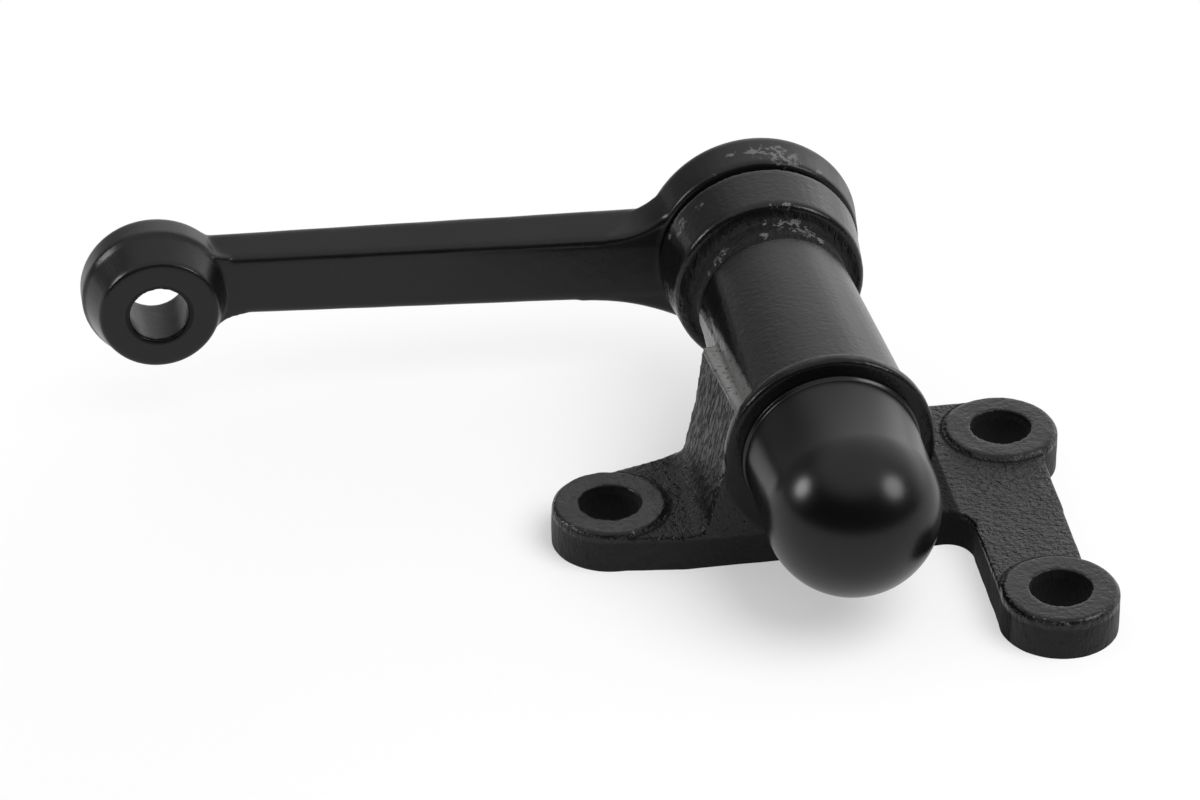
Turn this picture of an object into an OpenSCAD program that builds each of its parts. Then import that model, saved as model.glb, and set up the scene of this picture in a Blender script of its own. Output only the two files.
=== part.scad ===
// Steering idler arm assembly: cast bracket with a pivot barrel, forged arm, shaft, bushes, seal and cap.
// Millimetres. Z = 0 is the mounting face, X = 0 the pivot axis, Y = 0 the line through the single ear.

/* [Mounting ears] */
// Height of the pivot axis above the mounting face
pivot_h = 25.4; // [24:0.2:30]
// Diameter of each bolt ear
ear_d = 24; // [22:0.5:27]
// Diameter of each bolt hole
bolt_d = 12.5; // [10.5:0.5:13]
// Height of the ear bosses
ear_h = 9; // [8:0.5:11]
// How far the bosses stand above the rough plate
ear_lift = 1; // [0.5:0.25:2]
// Distance of the single ear from the pivot axis
ear_left_x = 42.9; // [41:0.1:50]
// Distance of the paired rear ear from the pivot axis
ear_right_x = 42.1; // [41.5:0.1:50]
// How much nearer to the pivot the front one of the paired ears stands
ear_front_in = 1.5; // [0:0.1:2]
// Paired rear ear, behind the single ear's line
ear_rear_y = 14.5; // [12:0.5:18]
// Paired front ear, ahead of the single ear's line
ear_front_y = 44.8; // [40:0.5:55]
// Width of the bar between the paired ears, at the front ear
bar_w = 18.5; // [14:0.5:20]
// How much the bar widens on each side towards the rear ear
bar_flare = 0.4; // [0.2:0.1:1.5]
// Radius of the plate's inside corner next to the bar
plate_fillet = 5.5; // [4:0.5:7]
// Edge chamfer on the ear bosses
ear_chamfer = 0.8; // [0.3:0.1:1.5]

/* [Barrel] */
// Length of the pivot barrel, face to face
barrel_len = 77; // [72:0.5:85]
// How far the barrel's front face stands ahead of the single ear's line
barrel_front = 13.5; // [12.5:0.5:18]
// Barrel diameter behind the front collar
barrel_front_d = 39.2; // [37.5:0.2:41]
// Barrel diameter ahead of the rear flange
barrel_rear_d = 32.8; // [30:0.2:35]
// Diameter of the front collar
collar_d = 43.2; // [42:0.2:46]
// Width of the front collar
collar_w = 2.8; // [2:0.2:5]
// Diameter of the rear flange
flange_d = 40.6; // [39.5:0.2:44]
// How much the rear flange's diameter grows towards the arm
flange_draft = 2.6; // [0.5:0.1:3]
// Width of the rear flange
flange_w = 13; // [10:0.5:15]
// Width of the rough neck between barrel and flange
neck_w = 6.4; // [5:0.2:9]
// Depth of the step between barrel and neck
neck_step = 1; // [0.3:0.1:1.2]
// Radius of the fillet under the flange
neck_fillet = 1.6; // [0.8:0.2:2.2]

/* [Web] */
// Distance of the web's wall from the pivot axis on the single ear's side
web_r = 20.5; // [20:0.1:21.2]
// Distance of the web's wall from the pivot axis on the paired ears' side
web_right_r = 17.2; // [16.6:0.1:17.4]
// Outward lean of the web walls, degrees
web_lean = 14; // [10:1:17]
// Height of the web's shoulder above the pivot axis, at the front
web_shoulder = 10; // [8:0.25:11]
// How far the shoulder falls over the web's length
web_fall = 5; // [3:0.25:6]
// Length of the web's foot on the single ear's side
web_left_len = 29.5; // [27:0.5:32]
// How far the web's rear edge leans back at its top
web_rake = 6; // [4:0.5:8]
// Radius of the fillets between web and plate
web_fillet = 4.5; // [3:0.5:6]
// How far the barrel's side rib stands out past the neck
rib_lip = 0.8; // [0.4:0.1:1.2]

/* [Pivot] */
// Journal diameter of the shaft
journal_d = 20; // [18:0.5:21]
// Radial running clearance of the shaft in its bushes
journal_clear = 0.04; // [0.02:0.01:0.08]
// Wall of the bushes
bush_wall = 2; // [1.5:0.25:2.5]
// Length of each bush without its flange
bush_len = 22; // [16:1:26]
// Thickness of the bush flanges
bush_flange_t = 2; // [1.5:0.25:2.5]
// How far the bush flanges stand out past the bush
bush_flange_lip = 2.4; // [1.5:0.1:2.6]
// End float between the arm, the washer and the bush flanges
end_float = 0.2; // [0.1:0.05:0.3]
// Diameter of the shaft's pressed seat in the arm
seat_d = 19; // [16:0.5:19.5]
// Thread diameter at the shaft's front end
thread_d = 16; // [14:0.5:17]
// How far the shaft's staked end stands out of the arm
stake_h = 0.8; // [0.4:0.1:1.5]
// Thickness of the thrust washer
washer_t = 3; // [2:0.25:4]
// Diameter of the thrust washer
washer_d = 30; // [27:0.5:31.5]
// Radial clearance of washer and nut on the thread
thread_clear = 0.1; // [0.05:0.05:0.2]
// Across-flats size of the castle nut
nut_af = 24; // [23:0.5:26]
// Height of the castle nut with its crown
nut_h = 17; // [15:0.5:18]
// Height of the nut's crown
crown_h = 6; // [5:0.5:7]
// Diameter of the nut's crown
crown_d = 22; // [21:0.5:23]
// Diameter of the cotter pin
pin_d = 2.5; // [2:0.1:3]
// Radial clearance of the cotter pin
pin_clear = 0.2; // [0.1:0.05:0.3]

/* [Seal] */
// Gap between the barrel's rear face and the arm
seal_gap = 1.5; // [1:0.1:2.5]
// Depth of the seal pocket in the barrel
seal_depth = 4; // [3.5:0.25:6]
// Outer diameter of the seal pocket
seal_d = 34; // [33:0.5:35]
// Wall of the seal
seal_wall = 2.4; // [1.8:0.1:2.6]
// Radial clearance between the seal and the arm's hub
hub_clear = 0.6; // [0.4:0.1:1]

/* [Dust cap] */
// Diameter of the cap's skirt
cap_d = 35.6; // [35:0.2:37]
// Wall of the cap
cap_wall = 1.2; // [0.8:0.1:1.5]
// Length of the straight skirt in front of the rim
cap_skirt = 19.5; // [17:0.5:26]
// How far the rim stands out past the skirt
cap_rim = 0.6; // [0.4:0.1:1]
// Thickness of the rim
cap_rim_t = 1; // [0.8:0.1:1.5]
// How far the spigot reaches into the barrel
cap_spigot = 6; // [4:0.5:7]
// Inset of the spigot from the skirt
cap_inset = 0.5; // [0.3:0.1:0.8]
// Depth of the barrel's front counterbore
cap_bore_depth = 9; // [8.5:0.5:12]

/* [Arm] */
// Distance between pivot and eye
arm_len = 128.4; // [110:1:150]
// Widest diameter of the arm's boss, near its rear
boss_d = 46.5; // [45.7:0.1:50]
// Thickness of the arm's boss
boss_t = 10.6; // [10:0.2:14]
// Forging draft: radius lost from the boss's rear to its front face
boss_draft = 1.1; // [0.8:0.1:1.6]
// Radius of the boss's rear edge
boss_round = 2.5; // [1.5:0.25:3]
// Height of the shank's front face next to the boss
shank_h_boss = 15.8; // [13:0.2:18]
// Height of the shank's front face next to the eye
shank_h_eye = 14.2; // [12:0.2:16]
// How far the shank's middle lies below the pivot's centre line at the boss
shank_drop = 2; // [0:0.2:3]
// How far the shank's middle lies above the eye's centre line
shank_rise = 1.5; // [0:0.1:2.4]
// Forging draft of the shank: half height gained per length from front to rear
shank_draft = 0.3; // [0.1:0.05:0.35]
// How far the shank's front face falls back towards the eye
shank_front_fall = 2.4; // [1:0.2:4]
// How far the shank's rear face moves back towards the eye
shank_rear_fall = 0.8; // [0:0.1:1]
// Edge radius of the shank
shank_edge = 1.8; // [1:0.1:2.4]
// Radius of the upper blend into the boss
blend_top = 18; // [12:1:24]
// Radius of the lower blend into the boss
blend_bottom = 48; // [36:2:60]
// Radius of the blends into the eye
blend_eye = 8; // [5:0.5:12]

/* [Eye] */
// Widest diameter of the eye
eye_d = 31.2; // [29.6:0.2:34]
// Diameter of the eye's front face
eye_face_d = 25.2; // [24:0.2:27]
// Thickness of the eye
eye_t = 16.5; // [15.5:0.5:18]
// How far the eye's front face stands ahead of the boss's front face
eye_ahead = 4.4; // [3:0.2:5]
// Height of the eye's tapered front pad
eye_pad = 8; // [7:0.25:9]
// Small diameter of the tapered hole, at the front face
taper_d = 12.3; // [11:0.1:13]
// Length over which the tapered hole grows by one unit of diameter
taper_ratio = 8; // [7:0.5:12]
// Edge chamfer of the eye and its hole
eye_chamfer = 0.5; // [0.3:0.1:0.8]

/* [Hidden] */
$fn = 64;
hull_fn = 32;
over = 0.5;                       // overshoot of cutters
bite = 0.1;                       // fillet cylinders cut this far past tangency
inset = 0.15;                     // blends stay this far inside the faces that they join
ear_r = ear_d / 2;
plate_h = ear_h - ear_lift;
front_y = -barrel_front;
rear_y = front_y + barrel_len;
left_rear_y = front_y + web_left_len;
bore_r = journal_d / 2 + journal_clear + bush_wall;
cap_bore_r = cap_d / 2 - cap_inset;
cap_bore_y = front_y + cap_bore_depth;
seal_bore_y = rear_y - seal_depth;
seal_r = seal_d / 2;
hub_r = seal_r - seal_wall - hub_clear;
flange_y = rear_y - flange_w;
neck_y = flange_y - neck_w;
collar_r = collar_d / 2;
flange_r = flange_d / 2;
flange_rear_r = flange_r + flange_draft / 2;
neck_r = barrel_rear_d / 2;
web_in = neck_r / 2;
bush_flange_r = bore_r + bush_flange_lip;
arm_y = rear_y + seal_gap;
hub_y = seal_bore_y + bush_flange_t + end_float;
shoulder_y = cap_bore_y - bush_flange_t - end_float;
nut_y = shoulder_y - washer_t;
crown_slot_w = pin_d + 4 * pin_clear;
crown_slot_h = crown_h - 1;
pin_y = nut_y - nut_h + crown_slot_h / 2;
thread_end_y = nut_y - nut_h - pin_d;
eye_y = arm_y - eye_ahead;
eye_r = eye_d / 2;
boss_r = boss_d / 2;
boss_face_r = boss_r - boss_draft;

// Turns a solid drawn along Z onto the pivot axis, Z becoming Y.
module on_pivot() {
    translate([0, 0, pivot_h]) rotate([-90, 0, 0]) children();
}

// A round cutter on the pivot axis from y0 to y1.
module pivot_cut(y0, y1, r) {
    on_pivot() translate([0, 0, y0]) cylinder(h = y1 - y0, r = r);
}

// A revolved ring: r0 to r1, y0 to y1.
module pivot_ring(y0, y1, r0, r1) {
    on_pivot() rotate_extrude() translate([r0, y0]) square([r1 - r0, y1 - y0]);
}

// Where a leaning web wall stands at a given height above the pivot axis.
function wall_x(r, h) = (h * sin(web_lean) - r) / cos(web_lean);

// Height of the web's shoulder line at a given Y.
function ledge_z(y) = pivot_h + web_shoulder - web_fall * (y - front_y) / (web_left_len + web_rake);

// The web's section on the single ear's side, in X and height: wall distance r, top above the pivot axis.
module web_section(r, top) {
    reach = web_fillet - bite;
    fillet_z = plate_h + reach;
    fillet_x = wall_x(r, fillet_z - pivot_h) - reach / cos(web_lean);
    foot = [fillet_x + reach * cos(web_lean), fillet_z - reach * sin(web_lean)];
    difference() {
        polygon([[web_in, over], [web_in, pivot_h], [-web_in, pivot_h + top], [wall_x(r, top), pivot_h + top],
                 foot, [fillet_x, fillet_z], [fillet_x, over]]);
        translate([fillet_x, fillet_z]) circle(r = web_fillet);
    }
}

// A section in X and height drawn out between two Y values.
module web_block(y0, y1) {
    translate([0, y1, 0]) rotate([90, 0, 0]) linear_extrude(y1 - y0) children();
}

// A side profile in Y and height drawn out between two X values.
module side_block(x0, x1) {
    translate([x0, 0, 0]) rotate([90, 0, 90]) linear_extrude(x1 - x0) children();
}

// The web under the single ear's side, with its falling shoulder and raked rear edge.
module left_web() {
    top_y = left_rear_y + web_rake;
    rib_y = neck_y - neck_w / 2;
    intersection() {
        web_block(front_y, top_y + over) web_section(web_r, web_shoulder + 1);
        side_block(-ear_left_x, web_in + over)
            polygon([[front_y - over, 0], [front_y - over, ledge_z(front_y)], [top_y, ledge_z(top_y)],
                     [left_rear_y + web_rake / 5, pivot_h * 0.8], [left_rear_y, plate_h + over],
                     [left_rear_y, 0]]);
    }
    side_block(-neck_r - rib_lip, -web_in)
        polygon([[left_rear_y, pivot_h - rib_lip], [rib_y, pivot_h - rib_lip], [rib_y, ledge_z(rib_y)],
                 [left_rear_y, ledge_z(left_rear_y)]]);
}

module ear(x, y) {
    translate([x, y, 0]) rotate_extrude()
        polygon([[0, 0], [ear_r, 0], [ear_r, ear_h - ear_chamfer],
                 [ear_r - ear_chamfer, ear_h], [0, ear_h]]);
}

module barrel_body() {
    collar_chamfer = collar_w / 5;
    collar_fall = collar_r - barrel_front_d / 2;
    flange_chamfer = neck_fillet / 2;
    rear_chamfer = flange_chamfer / 3;
    groove_w = neck_w / 5;
    on_pivot() rotate_extrude() difference() {
        polygon([[0, front_y], [collar_r - collar_chamfer, front_y], [collar_r, front_y + collar_chamfer],
                 [collar_r, front_y + collar_w], [barrel_front_d / 2, front_y + collar_w + collar_fall],
                 [neck_r, neck_y], [neck_r - neck_step, neck_y], [neck_r - neck_step, neck_y + groove_w],
                 [neck_r, neck_y + groove_w], [neck_r, flange_y - neck_fillet],
                 [neck_r + neck_fillet, flange_y - neck_fillet], [neck_r + neck_fillet, flange_y],
                 [flange_r - flange_chamfer, flange_y], [flange_r, flange_y + flange_chamfer],
                 [flange_rear_r, rear_y - rear_chamfer], [flange_rear_r - rear_chamfer, rear_y],
                 [0, rear_y]]);
        translate([neck_r + neck_fillet, flange_y - neck_fillet]) circle(r = neck_fillet, $fn = hull_fn);
    }
}

module bracket() {
    right_rear_y = ear_rear_y + ear_r - inset;
    ear_front_x = ear_right_x - ear_front_in;
    bar_x = ear_front_x - ear_r + inset;
    root_y = ear_front_y - barrel_front;
    root_x = bar_x + ear_front_in * root_y / (ear_rear_y + ear_front_y) - bar_flare;
    corner_x = root_x + (bar_x - root_x) * plate_fillet / root_y - plate_fillet + bite;
    corner_y = front_y - plate_fillet + bite;
    web_x = web_r + 2 * web_fillet;
    color("#1c1c1d") difference() {
        union() {
            barrel_body();
            left_web();
            web_block(front_y, right_rear_y) mirror([1, 0]) web_section(web_right_r, web_shoulder / 3);
            linear_extrude(plate_h) difference() {
                polygon([[-ear_left_x, inset - ear_r], [-web_x, front_y], [corner_x, front_y],
                         [corner_x, corner_y], [corner_x + plate_fillet - bite, corner_y],
                         [bar_x, -ear_front_y], [bar_x + bar_w, -ear_front_y],
                         [bar_x + bar_w + ear_front_in + bar_flare, ear_rear_y], [ear_right_x, right_rear_y],
                         [-web_in, right_rear_y], [-web_x, left_rear_y], [-ear_left_x, ear_r - inset]]);
                translate([corner_x, corner_y]) circle(r = plate_fillet);
            }
            ear(-ear_left_x, 0);
            ear(ear_right_x, ear_rear_y);
            ear(ear_front_x, -ear_front_y);
        }
        pivot_cut(front_y - over, rear_y + over, bore_r);
        pivot_cut(front_y - over, cap_bore_y, cap_bore_r);
        pivot_cut(seal_bore_y, rear_y + over, seal_r);
        for (p = [[-ear_left_x, 0], [ear_right_x, ear_rear_y], [ear_front_x, -ear_front_y]])
            translate([p.x, p.y, -over]) cylinder(h = ear_h + 2 * over, d = bolt_d);
    }
}

// Reach of a blend from the centre of a round of radius r to where it meets a straight edge at height n.
function blend_reach(r, n, fillet) = sqrt(pow(r + fillet, 2) - pow(n + fillet, 2));

// A slice of a concave blend from y0 to y1: a prism below the blend's centre, less a cone about that centre.
module blend_slice(reach, high, y0, y1, fillet0, fillet1) {
    grow = (fillet1 - fillet0) / (y1 - y0) * over;
    translate([0, y1, 0]) rotate([90, 0, 0]) difference() {
        linear_extrude(y1 - y0) polygon([[0, 0], [reach, 0], [reach, high]]);
        translate([reach, high, -over])
            cylinder(h = y1 - y0 + 2 * over, r1 = fillet1 + grow, r2 = fillet0 - grow);
    }
}

// A blend between the boss and an edge of the shank at height n, with the boss's draft and both its edges.
module boss_blend(n, fillet, y0, y1) {
    r = boss_face_r - 2 * inset;
    nose = shank_edge * 0.6;
    edge_y = arm_y + boss_t - boss_round;
    reach = blend_reach(r, n, fillet);
    mid_fillet = fillet - boss_draft;
    blend_slice(reach, n + fillet, y0, y0 + nose, fillet + nose, fillet);
    blend_slice(reach, n + fillet, y0 + nose, edge_y, fillet, mid_fillet);
    blend_slice(reach, n + fillet, edge_y, y1, mid_fillet, mid_fillet + y1 - edge_y);
}

// A blend between the eye and an edge of the shank at height n.
module eye_blend(n, y0, y1) {
    reach = blend_reach(eye_r - 4 * inset, n, blend_eye);
    blend_slice(reach, n + blend_eye, y0, y1, blend_eye, blend_eye);
}

// A section of the shank, standing across it, with rounded corners and more height at the rear.
module shank_section(s, middle, high, y0, y1) {
    e = shank_edge;
    front_z = high / 2 - e;
    rear_z = front_z + shank_draft * (y1 - y0 - 2 * e);
    translate([-s, 0, middle]) rotate([90, 0, 90]) linear_extrude(0.1) hull()
        for (p = [[y0 + e, front_z], [y1 - e, rear_z], [y1 - e, -rear_z], [y0 + e, -front_z]])
            translate(p) circle(r = e, $fn = hull_fn);
}

module idler_arm() {
    boss_edge = boss_draft / 2;
    round_y = arm_y + boss_t - boss_round;
    s0 = boss_face_r - 2;
    s1 = arm_len - eye_r / 2;
    f0 = arm_y + inset;
    r0 = arm_y + boss_t - inset;
    f1 = f0 + shank_front_fall;
    r1 = r0 + shank_rear_fall;
    slope_f = shank_front_fall / (s1 - s0);
    slope_r = shank_rear_fall / (s1 - s0);
    top_slope = (shank_drop + shank_rise + (shank_h_eye - shank_h_boss) / 2) / (s1 - s0);
    low_slope = (shank_drop + shank_rise - (shank_h_eye - shank_h_boss) / 2) / (s1 - s0);
    top_lean = atan(top_slope);
    low_lean = atan(low_slope);
    boss_top = (shank_h_boss / 2 - shank_drop - s0 * top_slope) * cos(top_lean) - inset / 3;
    boss_low = (shank_h_boss / 2 + shank_drop + s0 * low_slope) * cos(low_lean) - inset / 3;
    eye_top = (shank_h_eye / 2 + shank_rise + (arm_len - s1) * top_slope) * cos(top_lean) - inset / 3;
    eye_low = (shank_h_eye / 2 - shank_rise - (arm_len - s1) * low_slope) * cos(low_lean) - inset / 3;
    eye_rim = eye_r - (eye_r - eye_face_d / 2) / 5;
    taper_r = taper_d / 2;
    taper_rear_r = taper_r + eye_t / taper_ratio / 2;
    lead = 3 * eye_chamfer / 2;
    color("#161617") translate([0, 0, pivot_h]) difference() {
        union() {
            rotate([-90, 0, 0]) rotate_extrude() {
                polygon([[0, hub_y], [hub_r, hub_y], [hub_r, arm_y], [boss_face_r - boss_edge, arm_y],
                         [boss_face_r, arm_y + boss_edge], [boss_r, round_y],
                         [boss_r - boss_round, arm_y + boss_t], [0, arm_y + boss_t]]);
                translate([boss_r - boss_round, round_y]) circle(r = boss_round);
            }
            hull() {
                shank_section(s0, -shank_drop, shank_h_boss, f0, r0);
                shank_section(s1, shank_rise, shank_h_eye, f1, r1);
            }
            intersection() {
                union() {
                    mirror([1, 0, 0]) rotate([0, -top_lean, 0])
                        boss_blend(boss_top, blend_top, f0, r0 - inset);
                    mirror([1, 0, 0]) rotate([0, -low_lean, 0]) mirror([0, 0, 1])
                        boss_blend(boss_low, blend_bottom, f0, r0 - inset);
                    translate([-arm_len, 0, 0]) rotate([0, top_lean, 0]) eye_blend(eye_top, f0, r1);
                    translate([-arm_len, 0, 0]) rotate([0, low_lean, 0]) mirror([0, 0, 1])
                        eye_blend(eye_low, f0, r1);
                }
                translate([0, 0, -boss_d]) linear_extrude(2 * boss_d)
                    polygon([[0, f0 + inset - s0 * slope_f],
                             [-arm_len, f1 + inset + (arm_len - s1) * slope_f],
                             [-arm_len, r1 - inset + (arm_len - s1) * slope_r],
                             [0, r0 - inset - s0 * slope_r]]);
            }
            translate([-arm_len, 0, 0]) rotate([-90, 0, 0]) rotate_extrude()
                polygon([[0, eye_y], [eye_face_d / 2 - eye_chamfer, eye_y],
                         [eye_face_d / 2, eye_y + eye_chamfer],
                         [eye_rim, eye_y + eye_pad - eye_chamfer], [eye_r, eye_y + eye_pad],
                         [eye_r, eye_y + eye_t - 6 * eye_chamfer],
                         [eye_r - 3 * eye_chamfer, eye_y + eye_t - eye_chamfer],
                         [eye_r - 5 * eye_chamfer, eye_y + eye_t], [0, eye_y + eye_t]]);
        }
        rotate([-90, 0, 0]) translate([0, 0, hub_y - over])
            cylinder(h = arm_y + boss_t - hub_y + 2 * over, d = seat_d);
        translate([-arm_len, 0, 0]) rotate([-90, 0, 0]) {
            translate([0, 0, eye_y]) cylinder(h = eye_t, r1 = taper_r, r2 = taper_rear_r);
            translate([0, 0, eye_y + eye_t - eye_chamfer])
                cylinder(h = 2 * eye_chamfer, r1 = taper_rear_r - lead / 3, r2 = taper_rear_r + lead);
            translate([0, 0, eye_y - eye_chamfer])
                cylinder(h = 2 * eye_chamfer, r1 = taper_r + lead, r2 = taper_r - lead / 3);
        }
    }
}

module pivot_shaft() {
    end_y = arm_y + boss_t + stake_h;
    lead = thread_clear * 8;
    color("#8d9093") difference() {
        on_pivot() rotate_extrude()
            polygon([[0, thread_end_y], [thread_d / 2 - lead, thread_end_y],
                     [thread_d / 2, thread_end_y + lead], [thread_d / 2, shoulder_y],
                     [journal_d / 2, shoulder_y], [journal_d / 2, hub_y], [seat_d / 2, hub_y],
                     [seat_d / 2, end_y - stake_h], [seat_d / 2 - stake_h, end_y], [0, end_y]]);
        translate([-journal_d / 2, pin_y, pivot_h]) rotate([0, 90, 0])
            cylinder(h = journal_d, r = pin_d / 2 + pin_clear);
    }
}

// A flanged bush drawn along Z: the flange stands before Z = 0, the sleeve behind it.
module bush() {
    bush_in = journal_d / 2 + journal_clear;
    rotate_extrude() polygon([[bush_in, -bush_flange_t], [bush_flange_r, -bush_flange_t], [bush_flange_r, 0],
                              [bore_r, 0], [bore_r, bush_len], [bush_in, bush_len]]);
}

module front_bush() {
    color("#a8834a") on_pivot() translate([0, 0, cap_bore_y]) bush();
}

module rear_bush() {
    color("#a8834a") on_pivot() translate([0, 0, seal_bore_y]) mirror([0, 0, 1]) bush();
}

module dust_seal() {
    in_r = seal_r - seal_wall;
    lip = seal_gap;
    color("#141414") on_pivot() rotate_extrude()
        polygon([[in_r, seal_bore_y], [seal_r, seal_bore_y], [seal_r, rear_y - inset],
                 [seal_r + lip, rear_y + seal_gap * 0.7], [seal_r + lip, arm_y], [seal_r, arm_y],
                 [in_r, rear_y - seal_depth / 4]]);
}

module thrust_washer() {
    color("#7e8184") pivot_ring(nut_y, shoulder_y, thread_d / 2 + thread_clear, washer_d / 2);
}

module castle_nut() {
    hex_r = nut_af / 2 / cos(30);
    color("#77797c") difference() {
        on_pivot() translate([0, 0, nut_y - nut_h]) union() {
            translate([0, 0, crown_h]) cylinder(h = nut_h - crown_h, r = hex_r, $fn = 6);
            cylinder(h = crown_h + over, d = crown_d);
        }
        pivot_cut(nut_y - nut_h - over, nut_y + over, thread_d / 2 + thread_clear);
        for (a = [0, 60, 120])
            translate([0, nut_y - nut_h, pivot_h]) rotate([0, a, 0])
                translate([-crown_d, -over, -crown_slot_w / 2])
                    cube([2 * crown_d, crown_slot_h + over, crown_slot_w]);
    }
}

module cotter_pin() {
    r = pin_d / 2;
    loop_r = pin_d * 0.64;
    wire_r = pin_d * 0.32;
    reach = crown_d / 2 + wire_r;
    leg = pin_d * 1.8;
    color("#8a8c8e") translate([0, pin_y, pivot_h]) {
        translate([-reach, 0, 0]) rotate([0, 90, 0]) cylinder(h = 2 * reach, r = r);
        translate([reach + loop_r, 0, 0]) rotate([90, 0, 0]) rotate_extrude()
            translate([loop_r, 0]) circle(r = wire_r);
        for (a = [-1, 1])
            translate([wire_r - reach, 0, 0]) rotate([0, 90 + 110 * a, 0]) cylinder(h = leg + r, r = wire_r);
    }
}

module end_cap() {
    r = cap_d / 2;
    rim_y = front_y - cap_rim_t;
    dome_y = rim_y - cap_skirt;
    color("#1a1a1b") on_pivot() rotate_extrude() difference() {
        union() {
            intersection() {
                translate([0, dome_y]) circle(r = r);
                translate([0, dome_y - r]) square([r, r]);
            }
            translate([0, dome_y]) square([r, cap_skirt + cap_rim_t / 2]);
            translate([0, rim_y]) square([r + cap_rim, cap_rim_t]);
            translate([0, front_y - cap_rim_t / 2]) square([cap_bore_r, cap_spigot + cap_rim_t / 2]);
        }
        translate([0, dome_y]) circle(r = r - cap_wall);
        translate([-over, dome_y]) square([r - cap_wall + over, cap_skirt + cap_rim_t / 2]);
        translate([-over, rim_y]) square([cap_bore_r - cap_wall + over, cap_spigot + 2 * cap_rim_t]);
    }
}

bracket();
idler_arm();
pivot_shaft();
front_bush();
rear_bush();
dust_seal();
thrust_washer();
castle_nut();
cotter_pin();
end_cap();
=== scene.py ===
import bpy
import bmesh
import math
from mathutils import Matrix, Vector, noise


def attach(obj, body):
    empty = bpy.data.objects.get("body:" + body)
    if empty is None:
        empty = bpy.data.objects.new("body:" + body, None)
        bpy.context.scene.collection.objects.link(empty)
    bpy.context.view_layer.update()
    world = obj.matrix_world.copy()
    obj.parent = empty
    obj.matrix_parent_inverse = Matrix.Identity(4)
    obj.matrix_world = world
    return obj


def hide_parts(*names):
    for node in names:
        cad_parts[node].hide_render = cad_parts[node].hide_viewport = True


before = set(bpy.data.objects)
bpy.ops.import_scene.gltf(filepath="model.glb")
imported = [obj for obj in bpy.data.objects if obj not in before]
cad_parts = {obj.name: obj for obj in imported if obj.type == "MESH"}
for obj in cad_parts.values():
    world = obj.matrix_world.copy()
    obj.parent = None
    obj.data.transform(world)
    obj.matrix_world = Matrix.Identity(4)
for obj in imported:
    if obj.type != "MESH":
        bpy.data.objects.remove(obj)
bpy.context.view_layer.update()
mm = 0.001
pivotZ = 25.4 * mm
print("frame loaded:", len(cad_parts), "nodes")

softStep = {"interpolation_type": "SMOOTHSTEP"}
multiply = {"operation": "MULTIPLY"}
multiplyAdd = {"operation": "MULTIPLY_ADD"}
subtract = {"operation": "SUBTRACT"}
larger = {"operation": "MAXIMUM"}
colours = {"data_type": "RGBA"}
numbers = {"data_type": "FLOAT"}


def linearColour(hexText):  # sRGB hex to the linear colour that the shader wants
    parts = [int(hexText[i:i + 2], 16) / 255 for i in (1, 3, 5)]
    return [c / 12.92 if c <= 0.04045 else ((c + 0.055) / 1.055) ** 2.4 for c in parts] + [1.0]


def addNode(tree, kind, settings=None, inputs=None):  # an input is a value or a (node, output) link
    node = tree.nodes.new(kind)
    for key, value in (settings or {}).items():
        setattr(node, key, value)
    for key, value in (inputs or {}).items():
        if isinstance(value, tuple) and len(value) == 2 and hasattr(value[0], "outputs"):
            tree.links.new(value[0].outputs[value[1]], node.inputs[key])
        else:
            node.inputs[key].default_value = value
    return node


def startMaterial(name):
    material = bpy.data.materials.new(name)
    material.use_nodes = True
    material.node_tree.nodes.clear()
    return material, material.node_tree


def pivotPlace(tree):  # object coordinates, their parts, and the distance from the pivot axis
    place = addNode(tree, "ShaderNodeTexCoord")
    xyz = addNode(tree, "ShaderNodeSeparateXYZ", None, {0: (place, "Object")})
    drop = addNode(tree, "ShaderNodeMath", subtract, {0: (xyz, "Z"), 1: pivotZ})
    across = addNode(tree, "ShaderNodeCombineXYZ", None, {"X": (xyz, "X"), "Z": (drop, 0)})
    radius = addNode(tree, "ShaderNodeVectorMath", {"operation": "LENGTH"}, {0: (across, 0)})
    return (place, "Object"), xyz, (radius, "Value")


def within(tree, *limits):  # 1 where each length is past its zone's start and full values, in mm
    share = None
    for length, (start, full) in limits:
        step = addNode(tree, "ShaderNodeMapRange", softStep,
                       {"Value": length, "From Min": start * mm, "From Max": full * mm})
        share = step if share is None else addNode(tree, "ShaderNodeMath", multiply, {0: (share, 0), 1: (step, 0)})
    return share


def nearest(tree, where, spots):  # distance to the closest spot as a share of that spot's size in mm
    least = None
    for x, y, z, size in spots:
        away = addNode(tree, "ShaderNodeVectorMath", {"operation": "DISTANCE"},
                       {0: where, 1: (x * mm, y * mm, z * mm)})
        share = addNode(tree, "ShaderNodeMath", multiply, {0: (away, "Value"), 1: 1 / (size * mm)})
        if least is None:
            least = share
        else:
            least = addNode(tree, "ShaderNodeMath", {"operation": "MINIMUM"}, {0: (least, 0), 1: (share, 0)})
    return least


def wearAndSheen(tree, where, spots, ragged):  # 1 inside ragged spots where the film is rubbed through, also used as painted highlights
    close = addNode(tree, "ShaderNodeMapRange", softStep,
                    {"Value": (nearest(tree, where, spots), 0), "From Min": 1.7, "From Max": 0.3})
    swing = addNode(tree, "ShaderNodeMath", subtract, {0: (ragged, "Fac"), 1: 0.5})
    both = addNode(tree, "ShaderNodeMath", multiplyAdd, {0: (swing, 0), 1: 3.4, 2: (close, 0)})
    inside = addNode(tree, "ShaderNodeMapRange", softStep, {"Value": (both, 0), "From Min": 0.85, "From Max": 1.12})
    return addNode(tree, "ShaderNodeMath", multiply, {0: (inside, 0), 1: (close, 0)})


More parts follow.
